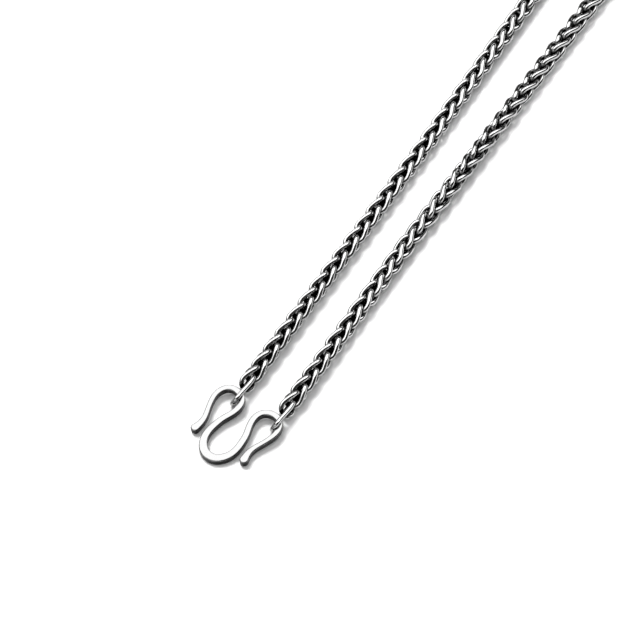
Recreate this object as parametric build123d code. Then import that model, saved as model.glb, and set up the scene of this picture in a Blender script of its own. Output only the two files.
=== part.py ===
from build123d import *
import os
from math import asin, cos, degrees, radians, sin

# Wheat chain necklace, fastened with an M-hook and lying on a flat surface.
# Millimetres, +Z up, z = 0 is the surface. The two strands run along +Y from the clasp, the
# middle line between them is x = 0 until the finished necklace is moved to its origin, which
# is the middle of its footprint.

# Driving dimensions of the chain
wire_diameter = 0.89      # round wire of every link
wire_gap = 0.25           # clear space between two wires that cross, before the chain is bent
link_height = 5.81        # one woven link, end to end along its wire's centre

# Driving dimensions of the end links, which join the chain to the hook
end_link_drop = 4.35      # from the first woven link back to the end link's hook end
seat_gap = 0.16           # clear space over and under the hook's bar inside an end link

# Driving dimensions of the hook, a flat bar bent to an M
hook_span = 16.0          # between the centres of the two outer arms
hook_height = 15.7        # from the centre of the bottom bend to the top of the arches
bar_width = 1.4           # seen from above, where the bar is neither flattened nor flared
bar_thickness = 1.7       # height of the bar on the surface
bar_edge = 0.28           # rounding of the bar's long edges
hook_turn = -6.0          # degrees that the hook lies turned from the strands
hook_aside = -1.95        # centre of the hook, beside the middle line between the strands
arch_to_link = 1.91       # from the arches' top to the left strand's first woven link

# Half of the hook's centre line, from the bottom bend to the flared tip. Across is a share
# of hook_span, along is a share of hook_height measured from the middle of the hook, and
# width is a share of bar_width.
HOOK_LINE = [
    # across, along, width
    (0.000, -0.529, 1.25),
    (0.082, -0.512, 1.24),
    (0.150, -0.459, 1.20),
    (0.207, -0.369, 1.10),
    (0.232, -0.242, 1.03),
    (0.222, -0.102, 0.98),
    (0.200, 0.013, 0.95),
    (0.163, 0.118, 0.93),
    (0.138, 0.204, 0.92),
    (0.134, 0.306, 0.92),
    (0.163, 0.389, 0.92),
    (0.231, 0.449, 0.92),
    (0.313, 0.471, 0.92),
    (0.406, 0.452, 0.90),
    (0.478, 0.369, 0.86),
    (0.500, 0.229, 0.80),
    (0.475, 0.115, 0.76),
    (0.444, 0.022, 0.76),
    (0.413, -0.064, 0.80),
    (0.392, -0.188, 0.92),
    (0.406, -0.303, 1.20),
]

# Route of the chain's axis seen from above, from the left end link round to the right one,
# with the radius of the bend at each inner point.
CHAIN_ROUTE = [
    # x, y, radius
    (-5.35, 9.3, 0.0),
    (-5.45, 85.0, 300.0),
    (-6.5, 159.0, 45.0),
    (-40.0, 205.0, 36.0),
    (-33.0, 251.25, 36.0),
    (33.0, 251.25, 36.0),
    (40.0, 205.0, 36.0),
    (6.5, 159.0, 45.0),
    (4.9, 60.0, 300.0),
    (5.12, 8.3, 0.0),
]

clasp_rise = 45.0         # length at each end over which the chain climbs to its end link

# Roll of the chain about its own axis in degrees, at distances along it from each end link.
LEFT_ROLL = [(0.0, 0.0), (120.0, -24.0)]
RIGHT_ROLL = [(0.0, -90.0), (120.0, -14.0)]

# Sizes that follow
wire_radius = wire_diameter / 2
wire_pitch = wire_diameter + wire_gap            # between the centres of crossing wires
link_step = (link_height - wire_pitch) / 2       # from one woven link to the next
seat_half = bar_thickness / 2 + seat_gap + wire_radius
seat_height = seat_half + wire_radius            # middle of an end link above the surface

# A woven link is an oval twisted a quarter turn. These are its corners from the bottom bow to
# the top bow: across and front are shares of wire_pitch, up is a share of link_height, and
# bend is the radius at the corner as a share of wire_pitch. The upper half is the lower half
# turned over, with across and front changing places.
LINK_CORNERS = [
    # across, front, up, bend
    (-0.630, 0.109, 0.0, 0.921),
    (-1.202, 0.356, 0.170, 1.228),
    (-1.014, 0.725, 0.372, 4.0),
    (-0.725, 1.014, 0.628, 4.0),
    (-0.356, 1.202, 0.830, 1.228),
    (-0.109, 0.630, 1.0, 0.921),
]

# An end link is flat and plain at the hook. From the first woven link on it is twisted to
# these corners, in the same shares.
END_TURN = (-0.275, 4.0)                          # up, bend
END_CORNERS = [
    # across, front, up, bend
    (-0.566, 1.254, 0.250, 3.4),
    (-0.489, 1.326, 0.461, 1.0),
]
END_BOW = (-0.109, 0.630, 1.15)                   # across, front, bend


def wire_loop(line):
    """Closed loop of round wire from one half of its centre line, turned about the z axis."""
    section = Plane(origin=line @ 0, z_dir=line % 0) * Circle(wire_radius)
    half = sweep(section, path=line)
    return (half + half.rotate(Axis.Z, 180)).solid()


def woven_line():
    """Half the centre line of a woven link, centred on the chain's axis."""
    low = -link_height / 2
    points = [(0, 0, low)]
    points += [(a * wire_pitch, f * wire_pitch, low + u * link_height) for a, f, u, _ in LINK_CORNERS]
    points += [(0, 0, -low)]
    return FilletPolyline(*points, radius=[b * wire_pitch for _, _, _, b in LINK_CORNERS])


def end_line():
    """Half the centre line of an end link, whose origin is the first woven link's bottom bow."""
    top = link_height - link_step
    up_turn, bend_turn = END_TURN
    points = [
        (0, 0, -end_link_drop),
        (0, seat_half, -end_link_drop),
        (0, seat_half, up_turn * link_height),
    ]
    points += [(a * wire_pitch, f * wire_pitch, u * link_height) for a, f, u, _ in END_CORNERS]
    points += [(END_BOW[0] * wire_pitch, END_BOW[1] * wire_pitch, top), (0, 0, top)]
    bends = [b * wire_pitch for b in (bend_turn, *(bend for *_, bend in END_CORNERS), END_BOW[2])]
    return FilletPolyline(*points, radius=[seat_half - wire_gap / 4, *bends])


def m_hook():
    """Flat bar of changing width along the M-shaped line, its middle at the origin."""
    half = [(a * hook_span, l * hook_height, w * bar_width) for a, l, w in HOOK_LINE]
    line = [(-a, l, w) for a, l, w in half[:0:-1]] + half
    centre = Spline(*[(a, l) for a, l, _ in line])
    left, right = [], []
    for a, l, w in line:
        across = (centre % centre.param_at_point((a, l))).rotate(Axis.Z, 90) * (w / 2)
        left.append(Vector(a, l) + across)
        right.append(Vector(a, l) - across)
    start = Vector(*line[0][:2]) - (centre % 0) * (line[0][2] / 2)
    end = Vector(*line[-1][:2]) + (centre % 1) * (line[-1][2] / 2)
    outline = [
        Spline(*left),
        ThreePointArc(left[-1], end, right[-1]),
        Spline(*right[::-1]),
        ThreePointArc(right[0], start, left[0]),
    ]
    bar = extrude(make_face(outline), amount=bar_thickness)
    return fillet(bar.faces().filter_by(Axis.Z).edges(), bar_edge).solid()


def place_hook(hook):
    """Turn the hook and raise its arches into the end links, its bottom bend on the surface."""
    rise = wire_diameter + seat_gap
    tilt = degrees(asin(rise / (hook_height + bar_width / 2)))
    arch_top = max(along for _, along, _ in HOOK_LINE) * hook_height
    hook = hook.rotate(Axis.X, tilt).rotate(Axis.Z, hook_turn)
    back = CHAIN_ROUTE[0][1] - arch_to_link - arch_top
    return hook.translate((hook_aside, back, -hook.bounding_box().min.Z))


def roll_at(distance, length):
    """Roll of the chain about its axis, in straight steps between the stated distances."""
    stops = LEFT_ROLL + [(length - d, roll) for d, roll in RIGHT_ROLL[::-1]]
    for (d0, r0), (d1, r1) in zip(stops, stops[1:]):
        if distance <= d1:
            return r0 + (r1 - r0) * (distance - d0) / (d1 - d0)
    return stops[-1][1]


def axis_height(roll, spots):
    """Height of the chain's axis when it lies on its lowest wires at this roll."""
    turn = radians(roll)
    return wire_radius + max(abs(p.Y * cos(turn)) + abs(p.X * sin(turn)) for p in spots)


def link_places(line):
    """Planes of the woven links and of the two end links, with z along the chain."""
    corners = [(x, y) for x, y, _ in CHAIN_ROUTE]
    route = FilletPolyline(*corners, radius=[r for _, _, r in CHAIN_ROUTE[1:-1]])
    length = route.length
    steps = 2 * round((length - link_height) / link_step / 2)
    step = (length - link_height) / steps
    spots = [line @ (i / 40) for i in range(41)]

    def place(distance, roll):
        at = route.position_at(distance, position_mode=PositionMode.LENGTH)
        along = route.tangent_at(distance, position_mode=PositionMode.LENGTH)
        level = axis_height(roll, spots)
        near = max(0.0, 1 - min(distance, length - distance) / clasp_rise)
        level += (seat_height - level) * near * near * (3 - 2 * near)
        side = along.cross(Vector(0, 0, 1))
        front = Vector(0, 0, 1) * cos(radians(roll)) + side * sin(radians(roll))
        return Plane(origin=at + Vector(0, 0, level), x_dir=front.cross(along), z_dir=along)

    places = [link_height / 2 + i * step for i in range(steps + 1)]
    links = [place(d, roll_at(d, length)) for d in places]
    start, finish = place(0, 0), place(length, 0)
    finish = Plane(origin=finish.origin, x_dir=finish.x_dir * -1, z_dir=finish.z_dir * -1)
    print(f"route {length:.1f} mm, {len(links)} woven links every {step:.3f} mm, made for {link_step:.3f}")
    return links, start, finish


# Every second link is the mirror image of the first kind
woven = wire_loop(woven_line())
kinds = [woven.mirror(Plane.YZ), woven]
places, start, finish = link_places(woven_line())
links = [kinds[i % 2].moved(plane.location) for i, plane in enumerate(places)]
middle = (len(links) + 1) // 2
end = wire_loop(end_line())

nodes = {
    "m_hook": place_hook(m_hook()),
    "end_link_left": end.moved(start.location),
    "end_link_right": end.moved(finish.location),
    "chain_left": Compound(links[:middle]),
    "chain_right": Compound(links[middle:]),
}

# The finished necklace stands on its origin, the middle of its footprint
footprint = Compound(list(nodes.values())).bounding_box()
to_origin = Location((-footprint.center().X, -footprint.center().Y, -footprint.min.Z))
os.makedirs("parts", exist_ok=True)
for name, shape in nodes.items():
    export_step(shape.moved(to_origin), f"parts/{name}.step")
    print(name, "volume", round(shape.volume, 1), "mm3")
print("moved by", to_origin.position, "overall", footprint.size)
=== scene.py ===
# %% [markdown]
# # A wheat chain necklace with an M-hook
#
# The necklace is silver: about 230 twisted wire links, each threaded through the two before it,
# and a flat bar bent to an M that closes the loop. It lies on a pale table with its two strands
# side by side. The far end of the loop, which the picture doesn't show, goes round in one plain
# open bend.
#
# The measured frame comes first. It says where the clasp lies, and the rest is placed from there.

import bmesh
import bpy
import numpy as np
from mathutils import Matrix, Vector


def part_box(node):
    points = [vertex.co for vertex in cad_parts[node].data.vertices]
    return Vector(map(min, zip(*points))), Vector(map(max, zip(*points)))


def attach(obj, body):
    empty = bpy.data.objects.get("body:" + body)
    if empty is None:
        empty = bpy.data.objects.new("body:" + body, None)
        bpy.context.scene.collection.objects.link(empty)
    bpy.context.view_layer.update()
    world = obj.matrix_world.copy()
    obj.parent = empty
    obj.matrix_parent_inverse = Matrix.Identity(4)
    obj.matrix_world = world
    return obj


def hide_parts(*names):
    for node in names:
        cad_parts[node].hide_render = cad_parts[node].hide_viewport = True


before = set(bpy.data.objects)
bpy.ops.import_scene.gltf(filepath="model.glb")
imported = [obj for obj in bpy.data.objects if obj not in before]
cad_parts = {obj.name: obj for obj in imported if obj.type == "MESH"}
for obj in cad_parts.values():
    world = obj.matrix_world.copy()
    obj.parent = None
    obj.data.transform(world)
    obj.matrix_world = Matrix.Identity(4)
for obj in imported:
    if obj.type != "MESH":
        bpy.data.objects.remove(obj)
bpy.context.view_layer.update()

mm = 0.001
print("frame nodes:", sorted(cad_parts))

# %% [markdown]
# ## Two helpers
#
# Colours are written the way a paint program shows them, as sRGB hex. Blender mixes light in
# linear values, so one function converts them. The other helper adds one node to a material and
# wires it up, which keeps each material short enough to read.

# %% Colours and nodes


def linear(hex_colour):
    """sRGB hex to linear: a channel c up to 0.04045 is divided by 12.92, and a brighter one
    becomes ((c + 0.055) / 1.055) to the power 2.4."""
    c = np.array([int(hex_colour[i:i + 2], 16) for i in (1, 3, 5)]) / 255
    rgb = np.where(c <= 0.04045, c / 12.92, ((c + 0.055) / 1.055) ** 2.4)
    return (*rgb.tolist(), 1.0)


def add_node(tree, kind, sockets=None, **settings):
    """Adds one node. Sockets gives a value or another node's output for each named input."""
    node = tree.nodes.new(kind)
    for name, value in settings.items():
        setattr(node, name, value)
    for name, value in (sockets or {}).items():
        if isinstance(value, bpy.types.NodeSocket):
            tree.links.new(value, node.inputs[name])
        else:
            node.inputs[name].default_value = value
    return node


# %% [markdown]
# ## The sizes of the real thing
#
# All sizes are millimetres. The wire is drawn a little thicker here than in the measured frame,
# where the links need air between them to be separate solids. On the real chain they touch. Here
# most just clear each other, and a few press together by some hundredths of a millimetre. The
# links are a little fuller too, and with that 0.07 mm longer, and the hook's bar is a little
# wider, as the photograph has it.

# %% Sizes
wire_radius = 0.53        # the real wire, about 1 mm thick
end_wire_radius = 0.48    # the end links' wire is a little thinner
frame_wire_radius = 0.445  # all wires in the measured frame
wire_pitch = 1.14         # between the centres of two wires that cross, in the measured frame
link_height = 5.81        # a woven link of the frame, end to end along its wire's centre
link_step = (link_height - wire_pitch) / 2

hook_span = 16.0          # between the centres of the two outer arms
hook_height = 15.7        # from the centre of the bottom bend to the top of the arches
bar_width = 1.55          # where the bar is neither flattened nor flared
bar_thickness = 1.7       # height of the bar on the table
bar_edge = 0.28           # rounding of the bar's long edges
seat_gap = 0.16           # air between the bar and the end link round it in the measured frame
hook_turn = np.radians(-6.0)  # the hook lies turned from the strands
hook_aside = -1.95        # its centre, beside the middle line between the strands
arch_to_link = 1.91       # from the arches' top to the left strand's first woven link

# From the middle of an end link up to its wire's centre in the frame, and from the table up to
# that middle
seat_half = bar_thickness / 2 + seat_gap + frame_wire_radius
seat_height = seat_half + end_wire_radius

# The chain's route on the table, corner by corner, with the radius of the bend at each one
CHAIN_ROUTE = [
    # x, y, radius
    (-5.35, 9.3, 0.0),
    (-5.45, 85.0, 300.0),
    (-6.5, 159.0, 45.0),
    (-40.0, 205.0, 36.0),
    (-33.0, 251.25, 36.0),
    (33.0, 251.25, 36.0),
    (40.0, 205.0, 36.0),
    (6.5, 159.0, 45.0),
    (4.9, 60.0, 300.0),
    (5.12, 8.3, 0.0),
]

# Roll of the chain about its own axis in degrees, at distances along it from each end link.
# An end link lies rolled as the woven link that it holds, or a quarter turn from it.
END_ROLL = 22.0
LEFT_ROLL = [(0.0, 22.0), (18.0, 13.0), (60.0, 6.0), (110.0, -24.0)]
RIGHT_ROLL = [(0.0, -112.0), (20.0, -96.0), (45.0, -66.0), (75.0, -20.0), (105.0, 12.0)]

# %% [markdown]
# ## The way the chain lies
#
# Laid down by hand, a chain runs nearly straight, bends evenly and runs straight again. Its route
# is such a path, and one function walks along it. The function works on whole arrays of
# distances, with no loop over points.

# %% Walk along a path of straight runs and arcs


def walk(corners, bends, shares):
    """Points, directions and length of a path of straight runs joined by arcs.

    At a corner that turns by angle g, an arc of radius r begins r tan(g / 2) before the corner
    and is r g long. After a turn a on it, the point is start + r sin(a) along +
    r (1 - cos(a)) inward, and the direction is cos(a) along + sin(a) inward. Shares are
    shares of the whole length."""
    corners, bends = np.asarray(corners, float), np.append(bends, 0.0)
    step = np.diff(corners, axis=0)
    run = np.linalg.norm(step, axis=1)
    along = step / run[:, None]
    ahead = np.vstack([along[1:], along[-1:]])
    cosine = np.clip((along * ahead).sum(1), -1, 1)
    turn = np.arccos(cosine)
    cut = bends * np.tan(turn / 2)
    inward = ahead - along * cosine[:, None]
    inward /= np.maximum(np.linalg.norm(inward, axis=1), 1e-9)[:, None]
    begin = corners[1:] - along * cut[:, None]
    stops = np.column_stack([run - cut - np.append(0, cut[:-1]), bends * turn]).ravel().cumsum()
    at = np.asarray(shares) * stops[-1]
    i = np.minimum(np.searchsorted(stops, at), len(stops) - 1) // 2
    past = (at - stops[2 * i])[:, None]               # below 0 on the run, above 0 on its arc
    radius = np.maximum(bends[i], 1e-9)[:, None]
    angle = np.where(bends[i, None] > 0, np.maximum(past, 0) / radius, 0)
    points = begin[i] + np.minimum(past, 0) * along[i] + radius * (
        np.sin(angle) * along[i] + (1 - np.cos(angle)) * inward[i])
    return points, np.cos(angle) * along[i] + np.sin(angle) * inward[i], stops[-1]


# %% [markdown]
# ## The twisted oval link
#
# Each woven link starts as an oval ring of wire. Its two ends are then turned against each
# other, so the top bow lies across the bottom bow and two more links can pass between them.
# The wire follows a closed cubic B-spline, a smooth curve that passes close to its pegs.
# Only three of its twelve pegs are given: the link looks the same after half a turn round the
# chain, and also when it is turned over, so the other nine follow. Every second link is the
# mirror image of the one before it.

# %% Pegs of the links' wire, in millimetres from the middle of a link, z along the chain
WOVEN_PEGS = [(-0.747, 0.131, -2.990), (-1.528, 0.433, -1.841), (-1.299, 0.898, -0.569)]
# An end link is flat and plain at the hook and twisted where the woven links begin
END_PEGS = [
    (0.0, 0.85, -4.45), (0.0, 1.62, -3.55), (0.0, 1.47, -2.30),
    (-0.151, 1.366, -0.853), (-0.299, 1.447, 0.642), (-0.352, 1.540, 2.191),
]


def half_turn(pegs):
    """A closed ring of pegs from half of it: (x, y, z) goes to (-x, -y, z) and the order turns."""
    return np.vstack([pegs, pegs[::-1] * [-1, -1, 1]])


def turned_over(pegs):
    """The same pegs seen from the other end of the link: (x, y, z) goes to (-y, -x, -z)."""
    return np.column_stack([-pegs[::-1, 1], -pegs[::-1, 0], -pegs[::-1, 2]])


lower_pegs = np.array(WOVEN_PEGS)
upper_pegs = turned_over(lower_pegs)
plain_ring = half_turn(np.vstack([lower_pegs, upper_pegs]))
mirrored_ring = plain_ring * [-1, 1, 1]
# The end link shares the top bow of the link that would come before the first woven one
above = link_height / 2 - link_step
end_ring_pegs = half_turn(np.vstack([END_PEGS, upper_pegs[-1:] + [0, 0, above]]))


def on_spline(pegs):
    """Points and directions of a closed cubic B-spline next to its pegs.

    The point is (previous + 4 own + next) / 6 and the direction is next - previous."""
    before, after = np.roll(pegs, 1, 0), np.roll(pegs, -1, 0)
    along = after - before
    return (before + 4 * pegs + after) / 6, along / np.linalg.norm(along, axis=1)[:, None]


# %% [markdown]
# ## From a line to round wire
#
# A chain of hundreds of links has to stay light. Each link's cage has only 12 rings of 4
# points, 48 faces, and a Subdivision Surface makes it round. Such a surface follows a
# cubic B-spline, which cuts inside its control points. So the rings are first placed where
# the wire should be, and then the control points that give those rings are solved.

# %% Cage of a round wire


def wire_cage(pegs, sides, radius):
    """Control points of a closed round wire as an array (rings, sides, 3).

    A point on a ring is centre + radius (cos(a) out + sin(a) across). Out points away from the
    middle of the link and across is along x out. A closed cubic B-spline passes through
    (previous + 4 own + next) / 6, so the control points solve that circle of equations."""
    rings = len(pegs)
    centre, along = on_spline(pegs)
    out = centre - (centre.max(0) + centre.min(0)) / 2
    out -= along * (out * along).sum(1)[:, None]
    out /= np.linalg.norm(out, axis=1)[:, None]
    across = np.cross(along, out)
    angle = (2 * np.pi * np.arange(sides) / sides)[None, :, None]
    # A B-spline round a circle of points lies nearer the middle: at (2 + cos(s)) / 3 of the radius
    # next to a point and (23 cos(s / 2) + cos(3 s / 2)) / 24 halfway, for steps of s. This is the mean
    step = 2 * np.pi / sides
    shrink = ((2 + np.cos(step)) / 3 + (23 * np.cos(step / 2) + np.cos(1.5 * step)) / 24) / 2
    spoke = np.cos(angle) * out[:, None] + np.sin(angle) * across[:, None]
    wanted = centre[:, None] + spoke * radius / shrink
    pull = (4 * np.eye(rings) + np.roll(np.eye(rings), 1, 0) + np.roll(np.eye(rings), -1, 0)) / 6
    return np.linalg.solve(pull, wanted.reshape(rings, -1)).reshape(wanted.shape)


def grid_faces(rings, sides, open_rows=0):
    """Quads of a grid that closes ring to ring, and also along each ring unless a row is open."""
    ring, side = np.meshgrid(np.arange(rings), np.arange(sides - open_rows), indexing="ij")
    right, up = (side + 1) % sides, (ring + 1) % rings
    quads = [ring * sides + side, ring * sides + right, up * sides + right, up * sides + side]
    return np.stack(quads, -1).reshape(-1, 4)


woven_sides, end_sides = 4, 8
woven_cages = np.stack([
    wire_cage(ring, woven_sides, wire_radius) for ring in (mirrored_ring, plain_ring)])
end_cage = wire_cage(end_ring_pegs, end_sides, end_wire_radius)
# A grid that closes both ways has as many faces as points
print("a woven link has", woven_cages[0, ..., 0].size, "faces, an end link", end_cage[..., 0].size)

# %% [markdown]
# ## Laying the links along the route
#
# The links follow one another at an even step. Each is turned to the route, and the whole chain
# also rolls slowly about its own axis, as a chain does when it is laid down by hand: that is
# why the open valley of the weave lies on top near the clasp and moves to the side further on.

# %% Places of the links
spots, _ = on_spline(plain_ring)                      # the wire's centre, to find the lowest wire
route_corners = np.array([(x, y, 0.0) for x, y, _ in CHAIN_ROUTE])
route_bends = np.array([r for _, _, r in CHAIN_ROUTE[1:-1]])
route_length = walk(route_corners, route_bends, [0])[2]


def chain_roll(distance):
    """Roll of the chain in degrees, in straight steps between the stated distances."""
    stops = LEFT_ROLL + [(route_length - d, roll) for d, roll in RIGHT_ROLL[::-1]]
    return np.interp(distance, *np.transpose(stops))


def places(distance, roll, level=None):
    """Origins (n, 3) and axes (n, 3, 3) of links at these distances along the route.

    Front is up turned by the roll about the route, across is front x along, and a link's own
    z axis is along. The axis lies at the given level, or as high as the lowest wire needs."""
    at, along, _ = walk(route_corners, route_bends, distance / route_length)
    roll = np.radians(roll)
    if level is None:
        reach = np.outer(np.cos(roll), spots[:, 1]), np.outer(np.sin(roll), spots[:, 0])
        level = wire_radius + np.abs(reach).sum(0).max(1)
    up = np.array([0.0, 0.0, 1.0])
    front = np.cos(roll)[:, None] * up + np.sin(roll)[:, None] * np.cross(along, up)
    return at + np.reshape(level, (-1, 1)) * up, np.stack([np.cross(front, along), front, along], 1)


steps = 2 * round((route_length - link_height) / link_step / 2)
distance = link_height / 2 + np.arange(steps + 1) * (route_length - link_height) / steps
origins, axes = places(distance, chain_roll(distance))
link_count = len(distance)
middle = (link_count + 1) // 2
print(f"route {route_length:.1f} mm, {link_count} woven links")

# %% [markdown]
# ## The M-hook
#
# The clasp is one bar of silver, flattened, bent to an M and flared at its tips, with its long
# edges filed round. Its surface is worked out from two numbers. One goes round the plan of the
# bar, up one side, round a tip and down the other. The other goes over the bar's section,
# from the middle of its top, over the edge and down to the middle of its underside.

# %% Half of the hook's middle line
HOOK_LINE = [
    # across, along, width
    (0.000, -0.529, 1.25), (0.082, -0.512, 1.24), (0.150, -0.459, 1.20), (0.207, -0.369, 1.10),
    (0.232, -0.242, 1.03), (0.222, -0.102, 0.98), (0.200, 0.013, 0.95), (0.163, 0.118, 0.93),
    (0.138, 0.204, 0.92), (0.134, 0.306, 0.92), (0.163, 0.389, 0.92), (0.231, 0.449, 0.92),
    (0.313, 0.471, 0.92), (0.406, 0.452, 0.90), (0.478, 0.369, 0.86), (0.500, 0.229, 0.80),
    (0.475, 0.115, 0.76), (0.444, 0.022, 0.76), (0.413, -0.064, 0.80), (0.392, -0.188, 0.92),
    (0.406, -0.303, 1.20),
]


def smooth_line(knots, count):
    """Points and slopes of a natural cubic spline through the knots, spaced by chord length.

    Between two knots a chord h apart, the value is a straight blend of the knots plus
    ((w^3 - w) m_now + (u^3 - u) m_next) h^2 / 6, where u is the share passed, w is 1 - u
    and m is the second derivative, which the knots' equations give."""
    chord = np.linalg.norm(np.diff(knots[:, :2], axis=0), axis=1)
    stop = np.append(0, chord.cumsum())
    size = len(knots)
    rule, bend = np.eye(size), np.zeros_like(knots)
    inner = np.arange(1, size - 1)
    rule[inner, inner - 1], rule[inner, inner + 1] = chord[:-1], chord[1:]
    rule[inner, inner] = 2 * (chord[:-1] + chord[1:])
    slope = np.diff(knots, axis=0) / chord[:, None]
    bend[1:-1] = 6 * np.diff(slope, axis=0)
    second = np.linalg.solve(rule, bend)
    at = np.linspace(0, stop[-1], count)
    i = np.clip(np.searchsorted(stop, at) - 1, 0, size - 2)
    h = chord[i][:, None]
    u = (at - stop[i])[:, None] / h
    w = 1 - u
    value = w * knots[i] + u * knots[i + 1] + (
        (w ** 3 - w) * second[i] + (u ** 3 - u) * second[i + 1]) * h ** 2 / 6
    change = slope[i] + ((1 - 3 * w ** 2) * second[i] + (3 * u ** 2 - 1) * second[i + 1]) * h / 6
    return value, change


# %% Surface of the hook


def hook_surface(stations=221, tip_steps=12, edge_steps=6, crown_drop=0.05):
    """Grid (round, section, 3) of the hook's points, and how far down the side each one lies.

    A point is middle + r(v) side + z(v) up. Side is the middle line's normal on the long sides,
    and turns through half a circle at each tip. Over the section, r goes from 0 to half the
    width and back, and z follows a flat, slightly crowned top, a quarter circle of the edge's
    radius, the side wall, and the same below. How far down the side a point lies is
    1 - |2 z / thickness - 1|^3: 0 on the flat faces and 1 halfway down."""
    half = np.array(HOOK_LINE) * [hook_span, hook_height, bar_width]
    knots = np.vstack([half[:0:-1] * [-1, 1, 1], half])
    line, change = smooth_line(knots, stations)
    heading = change[:, :2] / np.linalg.norm(change[:, :2], axis=1)[:, None]
    left = np.column_stack([-heading[:, 1], heading[:, 0]])
    turn = (np.pi * np.arange(1, tip_steps) / tip_steps)[:, None]
    finish = np.cos(turn) * left[-1] + np.sin(turn) * heading[-1]
    start = -np.cos(turn) * left[0] - np.sin(turn) * heading[0]
    side = np.vstack([left, finish, -left[::-1], start])
    index = np.concatenate([np.arange(stations), np.full(tip_steps - 1, stations - 1),
                            np.arange(stations)[::-1], np.zeros(tip_steps - 1, int)])
    half_width = line[index, 2] / 2

    bow = np.linspace(0, np.pi / 2, edge_steps + 1)
    flat = np.array([0.0, 0.3, 0.6, 0.85])            # shares of the flat's half width
    inset = np.concatenate([np.full(len(flat), bar_edge), bar_edge * (1 - np.sin(bow)), [0.0]])
    share = np.concatenate([flat, np.ones(len(bow) + 1)])
    drop = np.concatenate([
        np.zeros(len(flat)), bar_edge * (1 - np.cos(bow)), [bar_thickness / 2]])
    inset, share = np.append(inset, inset[-2::-1]), np.append(share, share[-2::-1])
    height = np.append(bar_thickness - drop, drop[-2::-1])
    radius = (half_width[:, None] - bar_edge) * share + (bar_edge - inset)
    crown = crown_drop * (radius / half_width[:, None]) ** 2
    level = height - crown * np.sign(height - bar_thickness / 2)
    points = np.empty((*radius.shape, 3))
    points[..., :2] = line[index, None, :2] + radius[..., None] * side[:, None]
    points[..., 2] = level
    wall = np.broadcast_to(1 - np.abs(2 * height / bar_thickness - 1) ** 3, radius.shape)
    return points, wall


def lie_down(points):
    """Tilts the hook so that its arches rest in the end links, and turns and places it.

    The tilt's sine is the arches' rise over the hook's length. A turn by a takes (x, y) to
    (x cos(a) - y sin(a), x sin(a) + y cos(a)), and the tilt does the same to (y, z)."""
    rise = 2 * end_wire_radius + seat_gap
    tilt = np.arcsin(rise / (hook_height + bar_width / 2))
    x, y, z = np.moveaxis(points, -1, 0)
    y, z = y * np.cos(tilt) - z * np.sin(tilt), y * np.sin(tilt) + z * np.cos(tilt)
    across = x * np.cos(hook_turn) - y * np.sin(hook_turn)
    along = x * np.sin(hook_turn) + y * np.cos(hook_turn)
    arch_top = max(row[1] for row in HOOK_LINE) * hook_height
    back = CHAIN_ROUTE[0][1] - arch_to_link - arch_top
    return np.stack([across + hook_aside, along + back, z - z.min()], -1)


hook_points, hook_wall = hook_surface()
hook_points = lie_down(hook_points)
flat_points = hook_points.reshape(-1, 3)
# All points are moved along the table until the hook's middle is where the frame has it
low, high = (np.array(corner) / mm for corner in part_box("m_hook"))
to_frame = np.array([*((low + high) - (flat_points.max(0) + flat_points.min(0)))[:2] / 2, 0.0])
print("hook", np.ptp(flat_points, axis=0).round(2), "mm, moved to the frame by", to_frame.round(3))

# %% [markdown]
# ## Making the meshes
#
# A mesh is only its points, its faces and, here, one number per point. For the wire that number
# says how far a spot is from the chain's axis. A polishing wheel reaches the outside of
# the weave and never its depths, and the links keep the light out of them, so this number decides
# later where the metal is bright and where it is dark with the film and with painted shade. For the
# hook the number paints shade halfway down the bar's sides.

# %% Mesh from arrays


def new_piece(name, points, faces, tone, levels=0):
    """A smooth-shaded mesh object at the origin from points in millimetres and a tone per point."""
    mesh = bpy.data.meshes.new(name)
    mesh.from_pydata(((points.reshape(-1, 3) + to_frame) * mm).tolist(), [], faces.tolist())
    layer = mesh.attributes.new("tone", "FLOAT", "POINT")
    layer.data.foreach_set("value", np.clip(tone, 0, 1).ravel().astype(np.float32))
    mesh.polygons.foreach_set("use_smooth", np.ones(len(mesh.polygons), bool))
    piece = bpy.data.objects.new(name, mesh)
    bpy.context.scene.collection.objects.link(piece)
    if levels:
        rounding = piece.modifiers.new("rounding", "SUBSURF")
        rounding.levels = rounding.render_levels = levels
    print(name, len(mesh.polygons), "faces,", len(mesh.polygons) * 2 * 4 ** levels, "triangles shown")
    return piece


# Low tone, deep in the weave, gives the dark oxidised film there and painted shade as well
def wire_tone(cage, dark_reach=0.7, bright_reach=2.0):
    """How exposed each cage point is: 0 at dark_reach from the axis and 1 at bright_reach."""
    return (np.hypot(cage[..., 0], cage[..., 1]) - dark_reach) / (bright_reach - dark_reach)


# %% The two halves of the chain
wire_levels = 2           # each level of rounding cuts every face in four
kind = np.arange(link_count) % 2
laid = origins[:, None, None] + np.einsum("nrsk,nkj->nrsj", woven_cages[kind], axes)
link_faces = grid_faces(*woven_cages.shape[1:3])
link_tone = wire_tone(woven_cages)[kind]
link_points = link_tone[0].size
halves = {}
for name, part in {"left": slice(0, middle), "right": slice(middle, None)}.items():
    starts = np.arange(len(laid[part])) * link_points
    faces = (starts[:, None, None] + link_faces).reshape(-1, 4)
    halves[name] = new_piece(f"wheat_chain_{name}", laid[part], faces, link_tone[part], wire_levels)

# %% The two end links
end_distances = np.array([0.0, route_length])
end_rolls = np.array([END_ROLL, -END_ROLL])
end_spots, end_axes = places(end_distances, end_rolls, seat_height)
# The right end link faces back along the route
end_axes[1] *= np.array([-1, 1, -1])[:, None]
end_faces = grid_faces(*end_cage.shape[:2])
# An end link stands free, so it also gets less painted shade than the woven links
least_end_tone = 0.55     # an end link stands free, so the wheel reaches all of it
end_tone = least_end_tone + (1 - least_end_tone) * wire_tone(end_cage)
ends = {
    name: new_piece(f"end_ring_{name}", spot + end_cage @ turned, end_faces, end_tone, wire_levels)
    for name, spot, turned in zip(("left", "right"), end_spots, end_axes)
}
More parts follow.
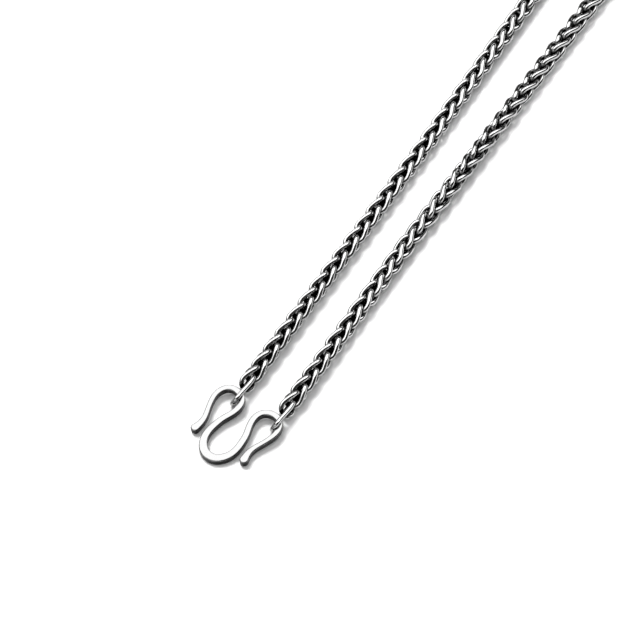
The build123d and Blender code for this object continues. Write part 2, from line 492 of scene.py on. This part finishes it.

# %% The hook, brightest on its flat faces, with painted shade darkest halfway down its sides
hook_faces = grid_faces(*hook_points.shape[:2], open_rows=1)
# Painted shade: the bar's sides, which mirror the dark room, are darkened by the tone
hook = new_piece("bent_hook", hook_points, hook_faces, 1 - hook_wall)

# %% [markdown]
# ## Close the hook's seams
#
# The grid goes round the plan of the bar, so both long sides meet on the middle line of the top
# and of the underside. There the grid's points lie on each other in pairs, and round the tips
# all on one spot. They are merged, which closes the surface.

# %% Merge the middle lines


def close_seams(piece, within=2e-6):
    """Merges points less than this many metres apart and turns every face outwards."""
    shell = bmesh.new()
    shell.from_mesh(piece.data)
    bmesh.ops.remove_doubles(shell, verts=shell.verts, dist=within)
    bmesh.ops.recalc_face_normals(shell, faces=shell.faces)
    shell.to_mesh(piece.data)
    shell.free()


close_seams(hook)

# %% [markdown]
# ## Sterling silver, oxidised and polished
#
# The chain is sterling silver dipped in a sulphur bath, which turns it nearly black, and then
# polished on a wheel. The bath stays in the hollows between the links and the wheel brings the
# outside back to a bright mirror. So one material holds both: the tone of a spot, broken up a
# little by noise, goes from a rough dark film to smooth bright metal. The dark end is painted
# shade as well: in the depths of the weave, and halfway down the hook's sides, where it stands
# for the dark room they mirror.

# %% Materials
# The patches break up both the dark film and the painted shade
patch_mm = 1.1            # patches of the film, about as wide as the wire
patch_share = 0.22        # how far the patches spread the tone


def silver(name, film_and_shade, bright, edge, rough, grain_mm, grain_depth_mm):
    """Metal that goes from the dark film and painted shade to the polish between the two tones given
    in edge.

    Rough is the roughness of the film and of the polish. The grain is the width and the depth
    of the small marks that polishing leaves."""
    material = bpy.data.materials.new(name)
    material.use_nodes = True
    tree = material.node_tree
    tree.nodes.clear()
    place = add_node(tree, "ShaderNodeTexCoord")
    patches = add_node(tree, "ShaderNodeTexNoise", {
        "Vector": place.outputs["Object"], "Scale": 1 / (patch_mm * mm), "Detail": 3.0})
    tone = add_node(tree, "ShaderNodeAttribute", attribute_name="tone")
    uneven = add_node(tree, "ShaderNodeMath", {
        0: patches.outputs["Fac"], 1: patch_share, 2: tone.outputs["Fac"]},
        operation="MULTIPLY_ADD")
    # Painted shade: the dark end of this blend shades the weave's depths and the hook's sides
    polish_and_shade = add_node(tree, "ShaderNodeMapRange", {
        "Value": uneven.outputs[0],
        "From Min": edge[0] + patch_share / 2, "From Max": edge[1] + patch_share / 2},
        interpolation_type="SMOOTHSTEP")
    colour = add_node(tree, "ShaderNodeMix", {
        "Factor": polish_and_shade.outputs["Result"], "A": linear(film_and_shade), "B": linear(bright)}, data_type="RGBA")
    gloss = add_node(tree, "ShaderNodeMapRange", {
        "Value": polish_and_shade.outputs["Result"], "To Min": rough[0], "To Max": rough[1]})
    grain = add_node(tree, "ShaderNodeTexNoise", {
        "Vector": place.outputs["Object"], "Scale": 1 / (grain_mm * mm), "Detail": 2.0})
    marks = add_node(tree, "ShaderNodeBump", {
        "Height": grain.outputs["Fac"], "Distance": grain_depth_mm * mm, "Strength": 1.0})
    metal = add_node(tree, "ShaderNodeBsdfPrincipled", {
        "Base Color": colour.outputs["Result"], "Roughness": gloss.outputs["Result"],
        "Metallic": 1.0, "Normal": marks.outputs["Normal"]})
    add_node(tree, "ShaderNodeOutputMaterial", {"Surface": metal.outputs["BSDF"]})
    return material


# The wire's dark tone is the oxidised film in its hollows and painted shade there
chain_silver = silver(
    "oxidised_silver_wire", film_and_shade="#060606", bright="#c0c0c0", edge=(0.40, 0.82),
    rough=(0.35, 0.09), grain_mm=0.6, grain_depth_mm=0.001)
# The hook's bar is greyer than the wire, softer in its shine and a little less even
# The bar's dark tone is painted shade halfway down its sides
hook_silver = silver(
    "polished_silver_bar", film_and_shade="#101010", bright="#a6a6a6", edge=(0.3, 0.9),
    rough=(0.35, 0.14), grain_mm=1.6, grain_depth_mm=0.006)
for piece in (*halves.values(), *ends.values()):
    piece.data.materials.append(chain_silver)
hook.data.materials.append(hook_silver)

# %% [markdown]
# ## What each piece stands for
#
# Every piece takes the place of one node of the measured frame. Nothing is hinged: the links
# move only by their slack, so all pieces ride on the one body.

# %% Tie the pieces to the frame
for piece, node, slot in (
    (halves["left"], "chain_left", "chain_metal"),
    (halves["right"], "chain_right", "chain_metal"),
    (ends["left"], "end_link_left", "chain_metal"),
    (ends["right"], "end_link_right", "chain_metal"),
    (hook, "m_hook", "hook_metal"),
):
    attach(piece, "root")
    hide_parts(node)

# %% [markdown]
# ## A white table and soft boxes
#
# Polished metal has no colour of its own: it shows the room. The room here is a white table, one
# large soft box above and behind, a weak one in front, and darkness elsewhere. The table gives
# each wire a white rim, the dark room gives the black bands, and the box gives the white top.
#
# Light for the table could come from the same boxes, but boxes placed for good reflections throw
# weak shadows. So they are set to be seen in reflections alone, and two others, which no
# reflection shows, light the table: a lamp above and to the left, which throws the soft shadows,
# and a large box overhead, which keeps those shadows grey.

# %% Table
table_mesh = bpy.data.meshes.new("table")
half_size = 1.5           # metres
corners = [(x * half_size, y * half_size, 0.0) for x, y in ((-1, -1), (1, -1), (1, 1), (-1, 1))]
table_mesh.from_pydata(corners, [], [(0, 1, 2, 3)])
table = bpy.data.objects.new("table", table_mesh)
bpy.context.scene.collection.objects.link(table)
# Matt paper scatters light evenly, so it takes shadows and shows no mirror image
paper = bpy.data.materials.new("matt_white_paper")
paper.use_nodes = True
sheet = paper.node_tree.nodes["Principled BSDF"]
sheet.inputs["Base Color"].default_value = linear("#f4f4f4")
sheet.inputs["Roughness"].default_value = 0.9
table_mesh.materials.append(paper)

# %% Lights
aim = np.array([0.0, -0.085, 0.0])    # near the middle of the picture, on the table, in metres
LIGHTS = {
    # name: metres away, way there (about 1 long), width and height in metres, watts
    "key": (0.6, (-0.27, 0.36, 0.89), (1.3, 0.74), 7.7),
    "front": (0.8, (-0.10, -0.82, 0.56), (1.2, 0.50), 1.6),
    "lamp": (1.5, (-0.42, 0.13, 0.90), (0.55, 0.55), 22.0),
    "fill": (1.5, (0.1, -0.1, 0.99), (2.2, 2.2), 19.0),
}
MIRRORED = ("key", "front")           # seen in reflections alone, and the others never in one


def look_from(back):
    """Euler angles that turn an object's own z axis along back, with its x axis level.

    With back made 1 long, they are arccos(z) about x and then arctan2(x, -y) about z."""
    back = np.asarray(back, float) / np.linalg.norm(back)
    return (np.arccos(back[2]), 0.0, np.arctan2(back[0], -back[1]))


def soft_box(name, place, size, watts):
    """A rectangular area light at place, in metres, that faces the aim."""
    light = bpy.data.lights.new(name, "AREA")
    light.shape, light.energy = "RECTANGLE", watts
    light.size, light.size_y = size
    box = bpy.data.objects.new(name, light)
    bpy.context.scene.collection.objects.link(box)
    box.location = place
    box.rotation_euler = look_from(place - aim)
    box.visible_diffuse = name not in MIRRORED
    box.visible_glossy = name in MIRRORED


for name, (away, way, size, watts) in LIGHTS.items():
    soft_box(name, aim + away * np.array(way), size, watts)

# %% Room
room_light = 0.05         # the dark room isn't quite black
world = bpy.data.worlds.new("studio")
bpy.context.scene.world = world
world.use_nodes = True
walls = world.node_tree.nodes["Background"]
walls.inputs["Color"].default_value = linear("#ffffff")
walls.inputs["Strength"].default_value = room_light
bpy.context.scene.view_settings.view_transform = "Standard"

# %% [markdown]
# ## The camera
#
# The picture was taken with a long lens from above and to the right of the clasp end, so the
# strands barely draw together towards the top.

# %% Camera
azimuth, elevation = np.radians(31.73), np.radians(56.0)
camera_distance = 0.833   # metres
target = np.array([-0.0047, -0.086879, 0.0])          # the middle of the picture, in metres
back = np.array([
    np.sin(azimuth) * np.cos(elevation), -np.cos(azimuth) * np.cos(elevation), np.sin(elevation)])
lens = bpy.data.cameras.new("camera")
lens.sensor_width, lens.lens = 36.0, 225.5
lens.clip_start, lens.clip_end = 0.05, 20.0
camera = bpy.data.objects.new("camera", lens)
bpy.context.scene.collection.objects.link(camera)
camera.location = target + back * camera_distance
camera.rotation_euler = look_from(back)
bpy.context.scene.camera = camera
